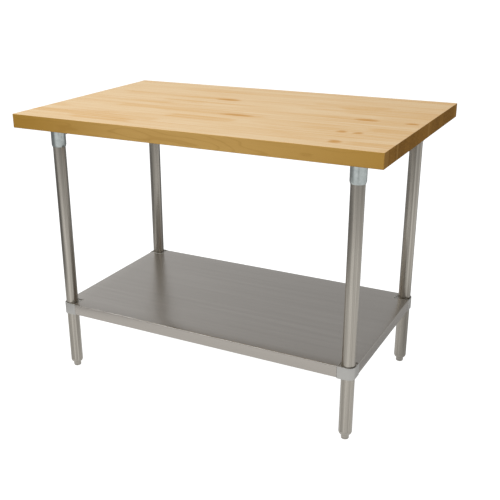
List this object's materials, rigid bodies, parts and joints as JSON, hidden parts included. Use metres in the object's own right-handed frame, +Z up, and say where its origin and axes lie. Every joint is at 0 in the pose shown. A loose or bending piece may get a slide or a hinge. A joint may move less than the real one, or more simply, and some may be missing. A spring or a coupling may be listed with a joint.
{
  "type": "butcher block table",
  "caption": "Work table with a laminated maple butcher block top, round steel legs in plated sockets, screw-out feet and a height-adjustable sheet steel undershelf.",
  "frame": {"origin": "on the floor under the middle of the top", "axes": "+X along the length of the top, -Y to the front, +Z up"},
  "size_m": [1.2192, 0.762, 0.921],
  "materials": {
    "maple": "oiled, sanded hard maple, staves glued edge to edge",
    "leg_tube": "satin stainless tube, polished lengthwise",
    "shelf_sheet": "brushed sheet steel, grain along the shelf",
    "zinc_plate": "bright zinc plate with a blue cast",
    "foot_steel": "machined stainless, satin",
    "cast_aluminium": "tumbled die casting, satin",
    "dark_steel": "black oxide screw steel"
  },
  "bodies": {
    "table_frame": {"stave_01": "maple", "stave_02": "maple", "stave_03": "maple", "stave_04": "maple", "stave_05": "maple", "stave_06": "maple", "stave_07": "maple", "stave_08": "maple", "stave_09": "maple", "stave_10": "maple", "stave_11": "maple", "stave_12": "maple", "stave_13": "maple", "stave_14": "maple", "stave_15": "maple", "stave_16": "maple", "stave_17": "maple", "leg_front_right": "leg_tube", "leg_socket_front_right": "zinc_plate", "socket_screw_front_right": "dark_steel", "foot_insert_front_right": "foot_steel", "leg_back_right": "leg_tube", "leg_socket_back_right": "zinc_plate", "socket_screw_back_right": "dark_steel", "foot_insert_back_right": "foot_steel", "leg_back_left": "leg_tube", "leg_socket_back_left": "zinc_plate", "socket_screw_back_left": "dark_steel", "foot_insert_back_left": "foot_steel", "leg_front_left": "leg_tube", "leg_socket_front_left": "zinc_plate", "socket_screw_front_left": "dark_steel", "foot_insert_front_left": "foot_steel"},
    "undershelf": {"undershelf_pan": "shelf_sheet", "undershelf_stiffener": "shelf_sheet", "shelf_clamp_front_right": "cast_aluminium", "clamp_screw_front_right": "dark_steel", "clamp_nut_front_right": "zinc_plate", "shelf_clamp_back_right": "cast_aluminium", "clamp_screw_back_right": "dark_steel", "clamp_nut_back_right": "zinc_plate", "shelf_clamp_back_left": "cast_aluminium", "clamp_screw_back_left": "dark_steel", "clamp_nut_back_left": "zinc_plate", "shelf_clamp_front_left": "cast_aluminium", "clamp_screw_front_left": "dark_steel", "clamp_nut_front_left": "zinc_plate"},
    "foot_stud_front_right": {"foot_stud_front_right": "zinc_plate"},
    "foot_hex_front_right": {"foot_hex_front_right": "foot_steel"},
    "foot_stud_back_right": {"foot_stud_back_right": "zinc_plate"},
    "foot_hex_back_right": {"foot_hex_back_right": "foot_steel"},
    "foot_stud_back_left": {"foot_stud_back_left": "zinc_plate"},
    "foot_hex_back_left": {"foot_hex_back_left": "foot_steel"},
    "foot_stud_front_left": {"foot_stud_front_left": "zinc_plate"},
    "foot_hex_front_left": {"foot_hex_front_left": "foot_steel"}
  },
  "joints": [
    {"name": "undershelf_height", "type": "slide", "parent": "table_frame", "child": "undershelf", "axis": [0, 0, 1], "range_m": [-0.12, 0.48]},
    {"name": "foot_travel_front_right", "type": "slide", "parent": "table_frame", "child": "foot_stud_front_right", "axis": [0, 0, -1], "range_m": [0, 0.025]},
    {"name": "foot_turn_front_right", "type": "hinge", "parent": "foot_stud_front_right", "child": "foot_hex_front_right", "pos_m": [0.5112, -0.2826, 0.0086], "axis": [0, 0, -1], "range_deg": [0, 4500]},
    {"name": "foot_travel_back_right", "type": "slide", "parent": "table_frame", "child": "foot_stud_back_right", "axis": [0, 0, -1], "range_m": [0, 0.025]},
    {"name": "foot_turn_back_right", "type": "hinge", "parent": "foot_stud_back_right", "child": "foot_hex_back_right", "pos_m": [0.5112, 0.2826, 0.0086], "axis": [0, 0, -1], "range_deg": [0, 4500]},
    {"name": "foot_travel_back_left", "type": "slide", "parent": "table_frame", "child": "foot_stud_back_left", "axis": [0, 0, -1], "range_m": [0, 0.025]},
    {"name": "foot_turn_back_left", "type": "hinge", "parent": "foot_stud_back_left", "child": "foot_hex_back_left", "pos_m": [-0.5112, 0.2826, 0.0086], "axis": [0, 0, -1], "range_deg": [0, 4500]},
    {"name": "foot_travel_front_left", "type": "slide", "parent": "table_frame", "child": "foot_stud_front_left", "axis": [0, 0, -1], "range_m": [0, 0.025]},
    {"name": "foot_turn_front_left", "type": "hinge", "parent": "foot_stud_front_left", "child": "foot_hex_front_left", "pos_m": [-0.5112, -0.2826, 0.0086], "axis": [0, 0, -1], "range_deg": [0, 4500]}
  ],
  "couplings": [
    {"joint": "foot_turn_front_right", "follows": "foot_travel_front_right", "rad_per_m": 3141.6},
    {"joint": "foot_turn_back_right", "follows": "foot_travel_back_right", "rad_per_m": 3141.6},
    {"joint": "foot_turn_back_left", "follows": "foot_travel_back_left", "rad_per_m": 3141.6},
    {"joint": "foot_turn_front_left", "follows": "foot_travel_front_left", "rad_per_m": 3141.6}
  ]
}
